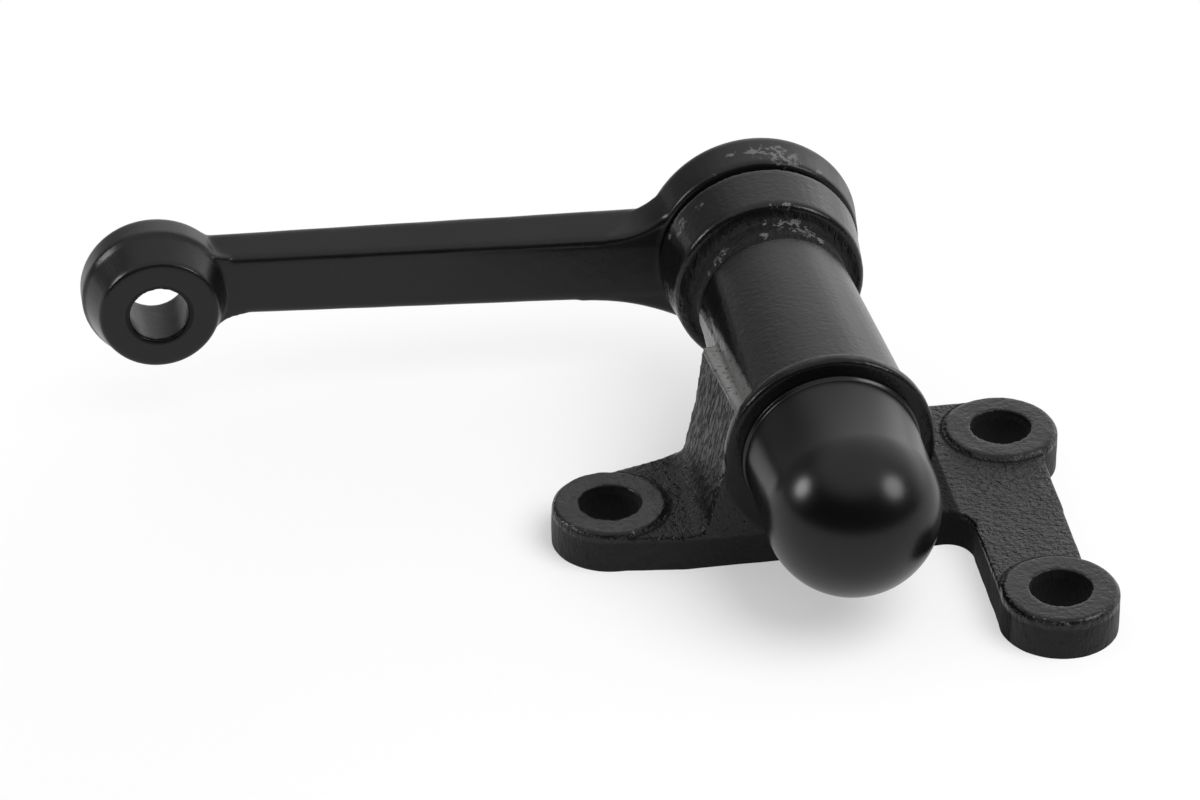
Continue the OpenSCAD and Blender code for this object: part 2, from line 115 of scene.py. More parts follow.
def closeMaterial(tree, colour, gloss, normal, ior):
    skin = addNode(tree, "ShaderNodeBsdfPrincipled", None,
                   {"Base Color": colour, "Roughness": gloss, "Normal": normal, "IOR": ior})
    addNode(tree, "ShaderNodeOutputMaterial", None, {"Surface": (skin, 0)})


castPaint = {
    # the rubbed-paint colour also makes painted highlights, the ledge colour is a painted highlight, the pit colour
    # also makes painted shade
    "dark": "#080809", "light": "#111112", "pit": "#050505", "wearAndSheen": "#5a5a59", "ledge": "#6a6a69",
    "ior": 1.37, "thinIor": 1.29, "sideThin": 0.85, "neckShade": 0.7, "dullRough": 0.8,
    "patchMm": 9.0, "lumpMm": 4.0, "grainMm": 1.25, "pitMm": 1.1, "peelMm": 1.1, "streakMm": 0.9, "wearMm": 1.0,
    "barrelRough": (0.23, 0.26), "sandRough": (0.21, 0.32), "wallRough": (0.37, 0.6), "sideRough": 0.5,
    "padCalm": -0.72, "sideCalm": -0.55, "wallMore": 0.8, "sunk": -0.22, "peelShare": 0.5, "streakShare": 0.7,
    "sandMm": 0.8, "liftMm": 0.3, "peelDeepMm": 0.16, "streakDeepMm": 0.06, "ledgeFall": 0.141, "ledgeTaper": 0.03,
    "ears": ((-42.9, 0, 0, 1000), (42.1, 14.5, 0, 1000), (40.6, -44.8, 0, 1000)),  # size 1000 gives metres
    # wear spots: rubbed-through paint, and painted highlights on the flange rim and the neck
    "wearAndSheenSpots": ((-13.7, 59.5, 41.5, 1.2), (-17.4, 59.8, 37.5, 1.9), (-18.3, 58.2, 35.8, 1.3), (-19.8, 61.2, 33.5, 1.1),
             (-1.8, 49.7, 41.7, 1.0), (-10.9, 46.9, 37.6, 1.5), (-12.5, 45.9, 36.0, 1.6), (-14.5, 45.8, 33.1, 1.1),
             (0.4, 50.5, 45.6, 1.2), (3.5, 50.8, 45.4, 1.4), (1.6, 48.6, 41.7, 2.2), (4.6, 48.2, 41.2, 2.8),
             (7.4, 47.6, 40.1, 2.5), (-2.3, 45.8, 41.6, 1.3), (9.6, 46.6, 38.8, 1.7), (17.9, 50.5, 25.9, 1.0)),
}
castZones = {  # mm: where a zone starts, and where it is full
    "outsideR": (21.4, 22.8), "aheadY": (43.8, 42.8), "behindY": (43.0, 44.0), "neckR": (19.4, 17.6),
    "ledgeUp": (32.5, 32.9), "ledgeX": (-15.2, -15.8), "ledgeY": (42.5, 41.0), "collarY": (-10.6, -10.0),
    "wallX": (-17.2, -17.8), "wallZ": (9.0, 12.0), "wallUp": (32.9, 32.5),
    "padR": (11.9, 11.6), "padZ": (8.35, 8.55), "holeR": (6.6, 6.3), "holeZ": (8.8, 8.5), "sideZ": (7.4, 6.4),
    "rimInR": (10.8, 11.3), "rimOutR": (12.3, 12.1), "rimZ": (8.0, 8.4),
    "rootInR": (11.95, 12.2), "rootOutR": (13.0, 12.4), "rootZ": (7.2, 7.6),
    "webNearX": (27.4, 26.6), "webFarX": (20.0, 21.0), "webZ": (18.0, 14.0),
    "barNearX": (29.8, 29.4), "barFarX": (25.0, 26.0), "barY": (-13.0, -14.0),
}


def paintOnCasting():  # black satin enamel over sand-cast iron: sandy on plate and web, orange peel on the barrel
    material, tree = startMaterial("satinEnamelOnSandCasting")
    s, z = castPaint, castZones
    place, xyz, radius = pivotPlace(tree)
    alongX, alongY, alongZ = (xyz, "X"), (xyz, "Y"), (xyz, "Z")
    plan = addNode(tree, "ShaderNodeCombineXYZ", None, {"X": alongX, "Y": alongY})
    toEar = (nearest(tree, (plan, 0), s["ears"]), 0)
    level = (addNode(tree, "ShaderNodeMath", multiplyAdd, {0: alongY, 1: s["ledgeFall"], 2: alongZ}), 0)
    shelf = (addNode(tree, "ShaderNodeMath", multiplyAdd, {0: alongY, 1: s["ledgeTaper"], 2: alongX}), 0)
    outside = within(tree, (radius, z["outsideR"]))
    ahead = within(tree, (alongY, z["aheadY"]))
    behind = within(tree, (alongY, z["behindY"]))
    side = within(tree, (alongZ, z["sideZ"]))
    ledge = within(tree, (level, z["ledgeUp"]), (shelf, z["ledgeX"]), (alongY, z["ledgeY"]),
                   (alongY, z["collarY"]))  # 1 on the narrow shelf along the barrel
    wall = within(tree, (alongX, z["wallX"]), (alongZ, z["wallZ"]), (level, z["wallUp"]),
                  (alongY, z["collarY"]))  # 1 on the steep left wall of the web
    neck = within(tree, (alongY, z["behindY"]), (radius, z["neckR"]))  # 1 in the recess ahead of the flange
    pad = within(tree, (toEar, z["padR"]), (alongZ, z["padZ"]))  # 1 on the machined seats of the bolt heads
    hole = within(tree, (toEar, z["holeR"]), (alongZ, z["holeZ"]))
    rimBand = within(tree, (toEar, z["rimInR"]), (alongZ, z["rimZ"]), (toEar, z["rimOutR"]))
    rootRing = within(tree, (toEar, z["rootInR"]), (toEar, z["rootOutR"]), (alongZ, z["rootZ"]))
    webRoot = within(tree, (alongX, z["webNearX"]), (alongX, z["webFarX"]), (alongZ, z["webZ"]))
    barSide = within(tree, (alongX, z["barNearX"]), (alongX, z["barFarX"]), (alongZ, z["sideZ"]), (alongY, z["barY"]))

    plateOrWall = addNode(tree, "ShaderNodeMath", larger, {0: (outside, 0), 1: (wall, 0)})
    offLedge = addNode(tree, "ShaderNodeMath", subtract, {0: 1.0, 1: (ledge, 0)})
    rough = addNode(tree, "ShaderNodeMath", multiply, {0: (plateOrWall, 0), 1: (offLedge, 0)})
    sandy = addNode(tree, "ShaderNodeMath", multiply, {0: (rough, 0), 1: (ahead, 0)})  # 1 on plate, ears and web
    padKeep = addNode(tree, "ShaderNodeMath", multiplyAdd, {0: (pad, 0), 1: s["padCalm"], 2: 1.0})
    sideKeep = addNode(tree, "ShaderNodeMath", multiplyAdd, {0: (side, 0), 1: s["sideCalm"], 2: 1.0})
    sandOpen = addNode(tree, "ShaderNodeMath", multiply, {0: (sandy, 0), 1: (padKeep, 0)})
    sandFlat = addNode(tree, "ShaderNodeMath", multiply, {0: (sandOpen, 0), 1: (sideKeep, 0)})
    sand = addNode(tree, "ShaderNodeMath", multiplyAdd, {0: (wall, 0), 1: s["wallMore"], 2: (sandFlat, 0)})
    coarse = addNode(tree, "ShaderNodeMath", larger, {0: (sand, 0), 1: (neck, 0)})

    drawnOut = addNode(tree, "ShaderNodeMapping", None, {"Vector": place, "Scale": (1.0, 1.0, 0.45)})
    turned = addNode(tree, "ShaderNodeMapping", None, {"Vector": place, "Scale": (0.1, 1.0, 0.1)})
    patch = addNode(tree, "ShaderNodeTexNoise", None,
                    {"Vector": place, "Scale": 1 / (s["patchMm"] * mm), "Detail": 3.0})
    lump = addNode(tree, "ShaderNodeTexNoise", None, {"Vector": place, "Scale": 1 / (s["lumpMm"] * mm), "Detail": 2.0})
    grain = addNode(tree, "ShaderNodeTexNoise", None,
                    {"Vector": (drawnOut, 0), "Scale": 1 / (s["grainMm"] * mm), "Detail": 3.0, "Roughness": 0.6})
    peel = addNode(tree, "ShaderNodeTexNoise", None,
                   {"Vector": place, "Scale": 1 / (s["peelMm"] * mm), "Detail": 2.0, "Roughness": 0.6})
    pit = addNode(tree, "ShaderNodeTexNoise", None,
                  {"Vector": (drawnOut, 0), "Scale": 1 / (s["pitMm"] * mm), "Detail": 1.0})
    ragged = addNode(tree, "ShaderNodeTexNoise", None,
                     {"Vector": place, "Scale": 1 / (s["wearMm"] * mm), "Detail": 3.0, "Roughness": 0.6})
    streak = addNode(tree, "ShaderNodeTexNoise", None,
                     {"Vector": (turned, 0), "Scale": 1 / (s["streakMm"] * mm), "Detail": 3.0})

    tint = addNode(tree, "ShaderNodeMix", colours,
                   {0: (patch, "Fac"), 6: linearColour(s["dark"]), 7: linearColour(s["light"])})
    pitShare = addNode(tree, "ShaderNodeMapRange", softStep,
                       {"Value": (pit, "Fac"), "From Min": 0.56, "From Max": 0.7})
    pitted = addNode(tree, "ShaderNodeMath", multiply, {0: (pitShare, 0), 1: (coarse, 0)})
    tintPitted = addNode(tree, "ShaderNodeMix", colours, {0: (pitted, 0), 6: (tint, 2), 7: linearColour(s["pit"])})
    # painted highlight: the shelf along the barrel is lightened in ragged patches, standing in for its reflection
    raggedPatches = addNode(tree, "ShaderNodeMapRange", softStep,
                      {"Value": (ragged, "Fac"), "From Min": 0.3, "From Max": 0.46})
    ledgeSheen = addNode(tree, "ShaderNodeMath", multiply, {0: (ledge, 0), 1: (raggedPatches, 0)})
    tintLedge = addNode(tree, "ShaderNodeMix", colours,
                        {0: (ledgeSheen, 0), 6: (tintPitted, 2), 7: linearColour(s["ledge"])})
    rimChip = addNode(tree, "ShaderNodeMapRange", softStep,
                      {"Value": (ragged, "Fac"), "From Min": 0.6, "From Max": 0.68})
    rimWorn = addNode(tree, "ShaderNodeMath", multiply, {0: (rimBand, 0), 1: (rimChip, 0)})  # specks on the pads' edges
    # rubbed paint, and painted highlights standing in for reflections on the flange rim and the neck
    rubbedAndSheen = wearAndSheen(tree, place, s["wearAndSheenSpots"], ragged)
    # bare: real chips on the pads' edges, rubbed paint, and painted highlights
    bare = addNode(tree, "ShaderNodeMath", larger, {0: (rimWorn, 0), 1: (rubbedAndSheen, 0)})
    tintWearAndSheen = addNode(tree, "ShaderNodeMix", colours, {0: (bare, 0), 6: (tintLedge, 2), 7: linearColour(s["wearAndSheen"])})

    # painted shade: pad roots, the corner of web and plate, and the bar's left side go dark and dull
    rootAny = addNode(tree, "ShaderNodeMath", larger, {0: (rootRing, 0), 1: (webRoot, 0)})
    shadeRootsAndBar = addNode(tree, "ShaderNodeMath", larger, {0: (rootAny, 0), 1: (barSide, 0)})
    cornerShade = addNode(tree, "ShaderNodeMath", multiply, {0: (shadeRootsAndBar, 0), 1: (sandy, 0)})  # painted shade in the inside corners and along the bar's left side
    offWearAndSheen = addNode(tree, "ShaderNodeMath", subtract, {0: 1.0, 1: (bare, 0)})
    # painted shade in the neck recess ahead of the flange
    neckPaint = addNode(tree, "ShaderNodeMath", multiply, {0: (neck, 0), 1: (offWearAndSheen, 0)})
    neckShade = addNode(tree, "ShaderNodeMath", multiply, {0: (neckPaint, 0), 1: s["neckShade"]})
    # painted shade inside the bolt holes, joined with the corners and the neck
    holeAndRootShade = addNode(tree, "ShaderNodeMath", larger, {0: (hole, 0), 1: (cornerShade, 0)})
    shadeAndDull = addNode(tree, "ShaderNodeMath", larger, {0: (holeAndRootShade, 0), 1: (neckShade, 0)})
    # painted shade: all these places are darkened toward the pit colour
    colour = addNode(tree, "ShaderNodeMix", colours, {0: (shadeAndDull, 0), 6: (tintWearAndSheen, 2), 7: linearColour(s["pit"])})

    smoothest, dullest = s["barrelRough"]
    barrelGloss = addNode(tree, "ShaderNodeMapRange", softStep,
                          {"Value": (streak, "Fac"), "From Min": 0.3, "From Max": 0.7,
                           "To Min": smoothest, "To Max": dullest})
    smoothest, dullest = s["sandRough"]
    sandGloss = addNode(tree, "ShaderNodeMapRange", softStep,
                        {"Value": (patch, "Fac"), "From Min": 0.3, "From Max": 0.7,
                         "To Min": smoothest, "To Max": dullest})
    smoothest, dullest = s["wallRough"]
    wallGloss = addNode(tree, "ShaderNodeMapRange", softStep,
                        {"Value": (pit, "Fac"), "From Min": 0.46, "From Max": 0.6,
                         "To Min": smoothest, "To Max": dullest})
    plateGloss = addNode(tree, "ShaderNodeMix", numbers, {0: (wall, 0), 2: (sandGloss, 0), 3: (wallGloss, 0)})
    edgeGloss = addNode(tree, "ShaderNodeMix", numbers, {0: (side, 0), 2: (plateGloss, 0), 3: s["sideRough"]})
    openGloss = addNode(tree, "ShaderNodeMix", numbers, {0: (sandy, 0), 2: (barrelGloss, 0), 3: (edgeGloss, 0)})
    gloss = addNode(tree, "ShaderNodeMix", numbers, {0: (shadeAndDull, 0), 2: (openGloss, 0), 3: s["dullRough"]})

    fine = addNode(tree, "ShaderNodeMath", {"operation": "SUBTRACT", "use_clamp": True}, {0: 1.0, 1: (coarse, 0)})
    peelShare = addNode(tree, "ShaderNodeMath", multiply, {0: (fine, 0), 1: s["peelShare"]})
    streakShare = addNode(tree, "ShaderNodeMath", multiply, {0: (behind, 0), 1: s["streakShare"]})
    sandHeight = addNode(tree, "ShaderNodeMath", multiplyAdd, {0: (pitShare, 0), 1: s["sunk"], 2: (grain, "Fac")})
    bumpPeel = addNode(tree, "ShaderNodeBump", None,
                       {"Strength": (peelShare, 0), "Distance": s["peelDeepMm"] * mm, "Height": (peel, "Fac")})
    bumpStreak = addNode(tree, "ShaderNodeBump", None,
                         {"Strength": (streakShare, 0), "Distance": s["streakDeepMm"] * mm, "Height": (streak, "Fac"),
                          "Normal": (bumpPeel, 0)})
    bumpLump = addNode(tree, "ShaderNodeBump", None,
                       {"Strength": (coarse, 0), "Distance": s["liftMm"] * mm, "Height": (lump, "Fac"),
                        "Normal": (bumpStreak, 0)})
    bumpGrain = addNode(tree, "ShaderNodeBump", None,
                        {"Strength": (coarse, 0), "Distance": s["sandMm"] * mm, "Height": (sandHeight, 0),
                         "Normal": (bumpLump, 0)})

    inside = addNode(tree, "ShaderNodeMath", subtract, {0: 1.0, 1: (outside, 0)})
    onBarrel = addNode(tree, "ShaderNodeMath", multiply, {0: (inside, 0), 1: (ahead, 0)})
    sideThin = addNode(tree, "ShaderNodeMath", multiply, {0: (side, 0), 1: s["sideThin"]})
    thin = addNode(tree, "ShaderNodeMath", larger, {0: (onBarrel, 0), 1: (sideThin, 0)})  # a thinner film shines less
    ior = addNode(tree, "ShaderNodeMix", numbers, {0: (thin, 0), 2: s["ior"], 3: s["thinIor"]})
    closeMaterial(tree, (colour, 2), (gloss, 0), (bumpGrain, 0), (ior, 0))
    return material


forgePaint = {
    "dark": "#080809", "light": "#101011", "wearAndSheen": "#585857", "ior": 1.37, "patchMm": 14.0, "scaleMm": 3.0,
    "grainMm": 0.8, "wearMm": 1.2, "rough": (0.26, 0.38), "scaleDeepMm": 0.14, "grainDeepMm": 0.06,
    "eye": ((-128.4, 0, 25.4, 1000),), "eyeR": (7.4, 7.0), "eyeIor": 1.24,  # size 1000 gives metres
    # wear spots on the boss top: rubbed paint, lightened further as a painted highlight
    "wearAndSheenSpots": ((-5.1, 69.4, 47.4, 1.3), (-0.7, 69.0, 48.0, 2.0), (4.8, 70.4, 47.6, 1.8), (-9.3, 65.3, 45.5, 1.2),
             (4.7, 67.9, 47.4, 3.4), (7.8, 67.2, 46.6, 2.6), (1.8, 68.6, 47.8, 2.4), (13.4, 66.2, 43.4, 1.2)),
}


def paintOnForging():  # black satin enamel over a forging: smooth, faint scale marks, rubbed through on the boss, where the light spots are also a painted highlight
    material, tree = startMaterial("satinEnamelOnForging")
    s = forgePaint
    place, xyz, radius = pivotPlace(tree)
    patch = addNode(tree, "ShaderNodeTexNoise", None,
                    {"Vector": place, "Scale": 1 / (s["patchMm"] * mm), "Detail": 4.0})
    scale = addNode(tree, "ShaderNodeTexNoise", None,
                    {"Vector": place, "Scale": 1 / (s["scaleMm"] * mm), "Detail": 2.0})
    grain = addNode(tree, "ShaderNodeTexNoise", None,
                    {"Vector": place, "Scale": 1 / (s["grainMm"] * mm), "Detail": 2.0})
    ragged = addNode(tree, "ShaderNodeTexNoise", None,
                     {"Vector": place, "Scale": 1 / (s["wearMm"] * mm), "Detail": 3.0, "Roughness": 0.6})
    tint = addNode(tree, "ShaderNodeMix", colours,
                   {0: (patch, "Fac"), 6: linearColour(s["dark"]), 7: linearColour(s["light"])})
    # rubbed paint on the boss, also a painted highlight
    rubbedAndSheen = wearAndSheen(tree, place, s["wearAndSheenSpots"], ragged)
    colour = addNode(tree, "ShaderNodeMix", colours, {0: (rubbedAndSheen, 0), 6: (tint, 2), 7: linearColour(s["wearAndSheen"])})
    smoothest, dullest = s["rough"]
    gloss = addNode(tree, "ShaderNodeMapRange", softStep,
                    {"Value": (patch, "Fac"), "From Min": 0.3, "From Max": 0.7, "To Min": smoothest, "To Max": dullest})
    bumpScale = addNode(tree, "ShaderNodeBump", None,
                        {"Strength": 0.35, "Distance": s["scaleDeepMm"] * mm, "Height": (scale, "Fac")})
    bumpGrain = addNode(tree, "ShaderNodeBump", None,
                        {"Strength": 0.25, "Distance": s["grainDeepMm"] * mm, "Height": (grain, "Fac"),
                         "Normal": (bumpScale, 0)})
    flat = addNode(tree, "ShaderNodeCombineXYZ", None, {"X": (xyz, "X"), "Z": (xyz, "Z")})
    toEye = nearest(tree, (flat, 0), s["eye"])
    inEye = within(tree, ((toEye, 0), s["eyeR"]))  # the reamed bore takes little paint
    ior = addNode(tree, "ShaderNodeMix", numbers, {0: (inEye, 0), 2: s["ior"], 3: s["eyeIor"]})
    closeMaterial(tree, (colour, 2), (gloss, 0), (bumpGrain, 0), (ior, 0))
    return material


capPaint = {"dark": "#060606", "light": "#09090a", "ior": 1.38, "patchMm": 18.0, "peelMm": 1.8, "rough": (0.24, 0.29),
            "peelDeepMm": 0.05}


def paintOnDrawnCap():  # black enamel over drawn sheet steel: the smoothest film here, soft round highlights
    material, tree = startMaterial("satinEnamelOnDrawnSteel")
    s = capPaint
    place = (addNode(tree, "ShaderNodeTexCoord"), "Object")
    patch = addNode(tree, "ShaderNodeTexNoise", None,
                    {"Vector": place, "Scale": 1 / (s["patchMm"] * mm), "Detail": 3.0})
    peel = addNode(tree, "ShaderNodeTexNoise", None, {"Vector": place, "Scale": 1 / (s["peelMm"] * mm), "Detail": 1.0})
    tint = addNode(tree, "ShaderNodeMix", colours,
                   {0: (patch, "Fac"), 6: linearColour(s["dark"]), 7: linearColour(s["light"])})
    smoothest, dullest = s["rough"]
    gloss = addNode(tree, "ShaderNodeMapRange", softStep,
                    {"Value": (patch, "Fac"), "From Min": 0.2, "From Max": 0.8, "To Min": smoothest, "To Max": dullest})
    bump = addNode(tree, "ShaderNodeBump", None,
                   {"Strength": 0.1, "Distance": s["peelDeepMm"] * mm, "Height": (peel, "Fac")})
    closeMaterial(tree, (tint, 2), (gloss, 0), (bump, 0), s["ior"])
    return material


steelLook = {"paint": "#161617", "paintRough": 0.34, "ringDeepMm": 0.02, "farY": 1000.0, "edgeMm": 0.05,
             "smoother": 0.06, "duller": 0.08}


def turnedSteel(name, hexText, rough, turnMm, paintY=steelLook["farY"]):  # fine turned rings; black paint behind paintY
    material, tree = startMaterial(name)
    s = steelLook
    place, xyz, radius = pivotPlace(tree)
    rings = addNode(tree, "ShaderNodeTexWave", {"wave_type": "BANDS", "bands_direction": "Y"},
                    {"Vector": place, "Scale": 0.314 / (turnMm * mm), "Distortion": 1.5, "Detail": 2.0})
    painted = within(tree, ((xyz, "Y"), (paintY - s["edgeMm"], paintY + s["edgeMm"])))
    bare = addNode(tree, "ShaderNodeMath", subtract, {0: 1.0, 1: (painted, 0)})
    colour = addNode(tree, "ShaderNodeMix", colours,
                     {0: (painted, 0), 6: linearColour(hexText), 7: linearColour(s["paint"])})
    bareGloss = addNode(tree, "ShaderNodeMapRange", softStep,
                        {"Value": (rings, "Fac"), "To Min": rough - s["smoother"], "To Max": rough + s["duller"]})
    gloss = addNode(tree, "ShaderNodeMix", numbers, {0: (painted, 0), 2: (bareGloss, 0), 3: s["paintRough"]})
    bump = addNode(tree, "ShaderNodeBump", None,
                   {"Strength": 0.15, "Distance": s["ringDeepMm"] * mm, "Height": (rings, "Fac")})
    skin = addNode(tree, "ShaderNodeBsdfPrincipled", None,
                   {"Base Color": (colour, 2), "Metallic": (bare, 0), "Roughness": (gloss, 0), "Normal": (bump, 0)})
    addNode(tree, "ShaderNodeOutputMaterial", None, {"Surface": (skin, 0)})
    return material


rubberLook = {"dark": "#0e0e0e", "light": "#171716", "bloomMm": 5.0, "rough": 0.75}


def nitrileRubber():  # moulded seal rubber: matt, nearly black, faint bloom
    material, tree = startMaterial("mouldedNitrileRubber")
    s = rubberLook
    place = (addNode(tree, "ShaderNodeTexCoord"), "Object")
    bloom = addNode(tree, "ShaderNodeTexNoise", None,
                    {"Vector": place, "Scale": 1 / (s["bloomMm"] * mm), "Detail": 3.0})
    tint = addNode(tree, "ShaderNodeMix", colours,
                   {0: (bloom, "Fac"), 6: linearColour(s["dark"]), 7: linearColour(s["light"])})
    skin = addNode(tree, "ShaderNodeBsdfPrincipled", None, {"Base Color": (tint, 2), "Roughness": s["rough"]})
    addNode(tree, "ShaderNodeOutputMaterial", None, {"Surface": (skin, 0)})
    return material


castingSkin = paintOnCasting()
forgingSkin = paintOnForging()
capSkin = paintOnDrawnCap()
print("materials made")


def softEdged(nodeName, pieceName, material, body, s):  # a copy of the solid with its edges run round
    bm = bmesh.new()
    bm.from_mesh(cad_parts[nodeName].data)
    bmesh.ops.remove_doubles(bm, verts=bm.verts, dist=0.002 * mm)
    for vertex in bm.verts:
        if s["footMm"] and vertex.co.z < 0.01 * mm:
            vertex.co.z -= s["footMm"] * mm  # cut off again below, so the foot stays flat and crisp
    mesh = bpy.data.meshes.new(pieceName)
    bm.to_mesh(mesh)
    bm.free()
    piece = bpy.data.objects.new(pieceName, mesh)
    bpy.context.scene.collection.objects.link(piece)
    remesh = piece.modifiers.new("evenSkin", "REMESH")
    remesh.mode = "VOXEL"
    remesh.voxel_size = s["voxelMm"] * mm
    smooth = piece.modifiers.new("runEdges", "SMOOTH")
    smooth.factor = 0.5
    smooth.iterations = s["smoothing"]
    bpy.context.view_layer.update()
    shaped = bpy.data.meshes.new_from_object(piece.evaluated_get(bpy.context.evaluated_depsgraph_get()))
    piece.modifiers.clear()
    piece.data = shaped
    shaped.name = pieceName
    shaped.materials.clear()
    shaped.materials.append(material)
    skin = bmesh.new()
    skin.from_mesh(shaped)
    for vertex in skin.verts:
        wave = noise.noise(vertex.co / (s["unevenWideMm"] * mm))
        if math.hypot(vertex.co.x, vertex.co.z - pivotZ) < s["calmMm"] * mm:
            wave *= s["calm"]  # the barrel is smoother than the plate
        vertex.co += vertex.normal * wave * s["unevenMm"] * mm
    if s["footMm"]:
        bmesh.ops.bisect_plane(skin, geom=skin.verts[:] + skin.edges[:] + skin.faces[:], dist=0.0,
                               plane_co=(0, 0, 0), plane_no=(0, 0, 1), clear_inner=True)
        rim = [edge for edge in skin.edges if edge.is_boundary]
        bmesh.ops.triangle_fill(skin, edges=rim, use_beauty=True, normal=(0, 0, -1))
    for face in skin.faces:
        face.smooth = True
    for edge in skin.edges:
        edge.smooth = not all(abs(v.co.z) < 0.001 * mm for v in edge.verts)
    skin.to_mesh(shaped)
    skin.free()
    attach(piece, body)
    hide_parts(nodeName)
    shaped.calc_loop_triangles()
    print(pieceName, len(shaped.loop_triangles), "triangles")
    return piece


bracketShape = {"voxelMm": 0.56, "smoothing": 2, "unevenMm": 0.1, "unevenWideMm": 4.0, "footMm": 2.0,
                "calmMm": 21.5, "calm": 0.15}
armShape = {"voxelMm": 0.42, "smoothing": 9, "unevenMm": 0.05, "unevenWideMm": 9.0, "footMm": 0.0,
            "calmMm": 0.0, "calm": 1.0}
castBracket = softEdged("bracket", "castBracket", castingSkin, "bracket", bracketShape)
forgedArm = softEdged("idler_arm", "forgedArm", forgingSkin, "arm", armShape)

capShape = {"r": 17.8, "wall": 1.2, "skirt": 19.5, "rim": 0.6, "rimT": 1.0, "frontY": -13.5, "spigotR": 17.3,
            "spigot": 6.0, "turns": 128, "arcs": 24}


def drawnCap():
    s = capShape
    bm = bmesh.new()
    rimY = s["frontY"] - s["rimT"]
    domeY = rimY - s["skirt"]
    inner = s["r"] - s["wall"]
    outline = [(s["r"] * math.sin(math.pi / 2 * i / s["arcs"]), domeY - s["r"] * math.cos(math.pi / 2 * i / s["arcs"]))
               for i in range(s["arcs"] + 1)]
    outline += [(s["r"], rimY - 0.5), (s["r"] + 0.15, rimY - 0.15), (s["r"] + s["rim"] - 0.1, rimY + 0.05),
                (s["r"] + s["rim"], rimY + 0.25), (s["r"] + s["rim"], s["frontY"] - 0.1),
                (s["r"] + s["rim"] - 0.1, s["frontY"]), (s["spigotR"], s["frontY"]),
                (s["spigotR"], s["frontY"] + s["spigot"]), (s["spigotR"] - s["wall"], s["frontY"] + s["spigot"]),
                (s["spigotR"] - s["wall"], rimY), (inner, rimY - 0.4)]
    outline += [(inner * math.cos(math.pi / 2 * i / s["arcs"]), domeY - inner * math.sin(math.pi / 2 * i / s["arcs"]))
                for i in range(s["arcs"] + 1)]
    points = [bm.verts.new((r * mm, y * mm, pivotZ)) for r, y in outline]
    edges = [bm.edges.new((points[i], points[i + 1])) for i in range(len(points) - 1)]
    bmesh.ops.spin(bm, geom=points + edges, cent=(0, 0, pivotZ), axis=(0, 1, 0), angle=math.tau,
                   steps=s["turns"], use_merge=True)
    bmesh.ops.remove_doubles(bm, verts=bm.verts, dist=0.001 * mm)
    bmesh.ops.recalc_face_normals(bm, faces=bm.faces)
    mesh = bpy.data.meshes.new("drawnCap")
    bm.to_mesh(mesh)
    bm.free()
    mesh.materials.append(capSkin)
    mesh.polygons.foreach_set("use_smooth", [True] * len(mesh.polygons))
    mesh.set_sharp_from_angle(angle=math.radians(50))
    piece = bpy.data.objects.new("drawnCap", mesh)
    bpy.context.scene.collection.objects.link(piece)
    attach(piece, "bracket")
    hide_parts("end_cap")
    print("drawnCap", len(mesh.polygons), "faces")


drawnCap()


def dress(nodeName, material):
    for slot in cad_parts[nodeName].material_slots:
        slot.material = material


shaftSteel = turnedSteel("groundShaftSteel", "#b4b3b0", 0.3, 0.6, 75.4)
hardwareSteel = turnedSteel("turnedNutSteel", "#8f8f8e", 0.42, 0.5)
bearingBronze = turnedSteel("boredBearingBronze", "#b98a4e", 0.38, 0.5)
dress("pivot_shaft", shaftSteel)
for name in ("thrust_washer", "castle_nut", "cotter_pin"):
    dress(name, hardwareSteel)
for name in ("front_bush", "rear_bush"):
    dress(name, bearingBronze)
dress("dust_seal", nitrileRubber())
print("pieces dressed")

floorLook = {"size": 6.0, "colour": "#f6f6f6", "near": 0.42, "far": 1.0,
             "middle": (-0.06, -0.05, 0.0), "reach": (0.06, 0.17)}


def makeFloor():  # white sweep: keeps the shadow, shows white to the camera and in gloss
    s = floorLook
    bm = bmesh.new()
    bmesh.ops.create_grid(bm, x_segments=1, y_segments=1, size=s["size"])
    bmesh.ops.translate(bm, verts=bm.verts, vec=(0, 0, -0.02 * mm))
    mesh = bpy.data.meshes.new("floor")
    bm.to_mesh(mesh)
    bm.free()
    floor = bpy.data.objects.new("floor", mesh)
    bpy.context.scene.collection.objects.link(floor)
    material, tree = startMaterial("whiteSweep")
    path = addNode(tree, "ShaderNodeLightPath")
    either = addNode(tree, "ShaderNodeMath", larger, {0: (path, "Is Camera Ray"), 1: (path, "Is Glossy Ray")})
    seen = addNode(tree, "ShaderNodeMath", larger, {0: (either, 0), 1: (path, "Is Transmission Ray")})
    place = addNode(tree, "ShaderNodeTexCoord")
    away = addNode(tree, "ShaderNodeVectorMath", {"operation": "DISTANCE"}, {0: (place, "Object"), 1: s["middle"]})
    shadeEnds, whiteStarts = s["reach"]
    white = addNode(tree, "ShaderNodeMapRange", softStep,
                    {"Value": (away, "Value"), "From Min": shadeEnds, "From Max": whiteStarts,
                     "To Min": s["near"], "To Max": s["far"]})
    share = addNode(tree, "ShaderNodeMath", multiply, {0: (seen, 0), 1: (white, 0)})
    plain = addNode(tree, "ShaderNodeBsdfDiffuse", None, {"Color": linearColour(s["colour"])})
    glow = addNode(tree, "ShaderNodeEmission", None, {"Color": (1, 1, 1, 1), "Strength": 1.0})
    both = addNode(tree, "ShaderNodeMixShader", None, {0: (share, 0), 1: (plain, 0), 2: (glow, 0)})
    addNode(tree, "ShaderNodeOutputMaterial", None, {"Surface": (both, 0)})
    mesh.materials.append(material)


makeFloor()

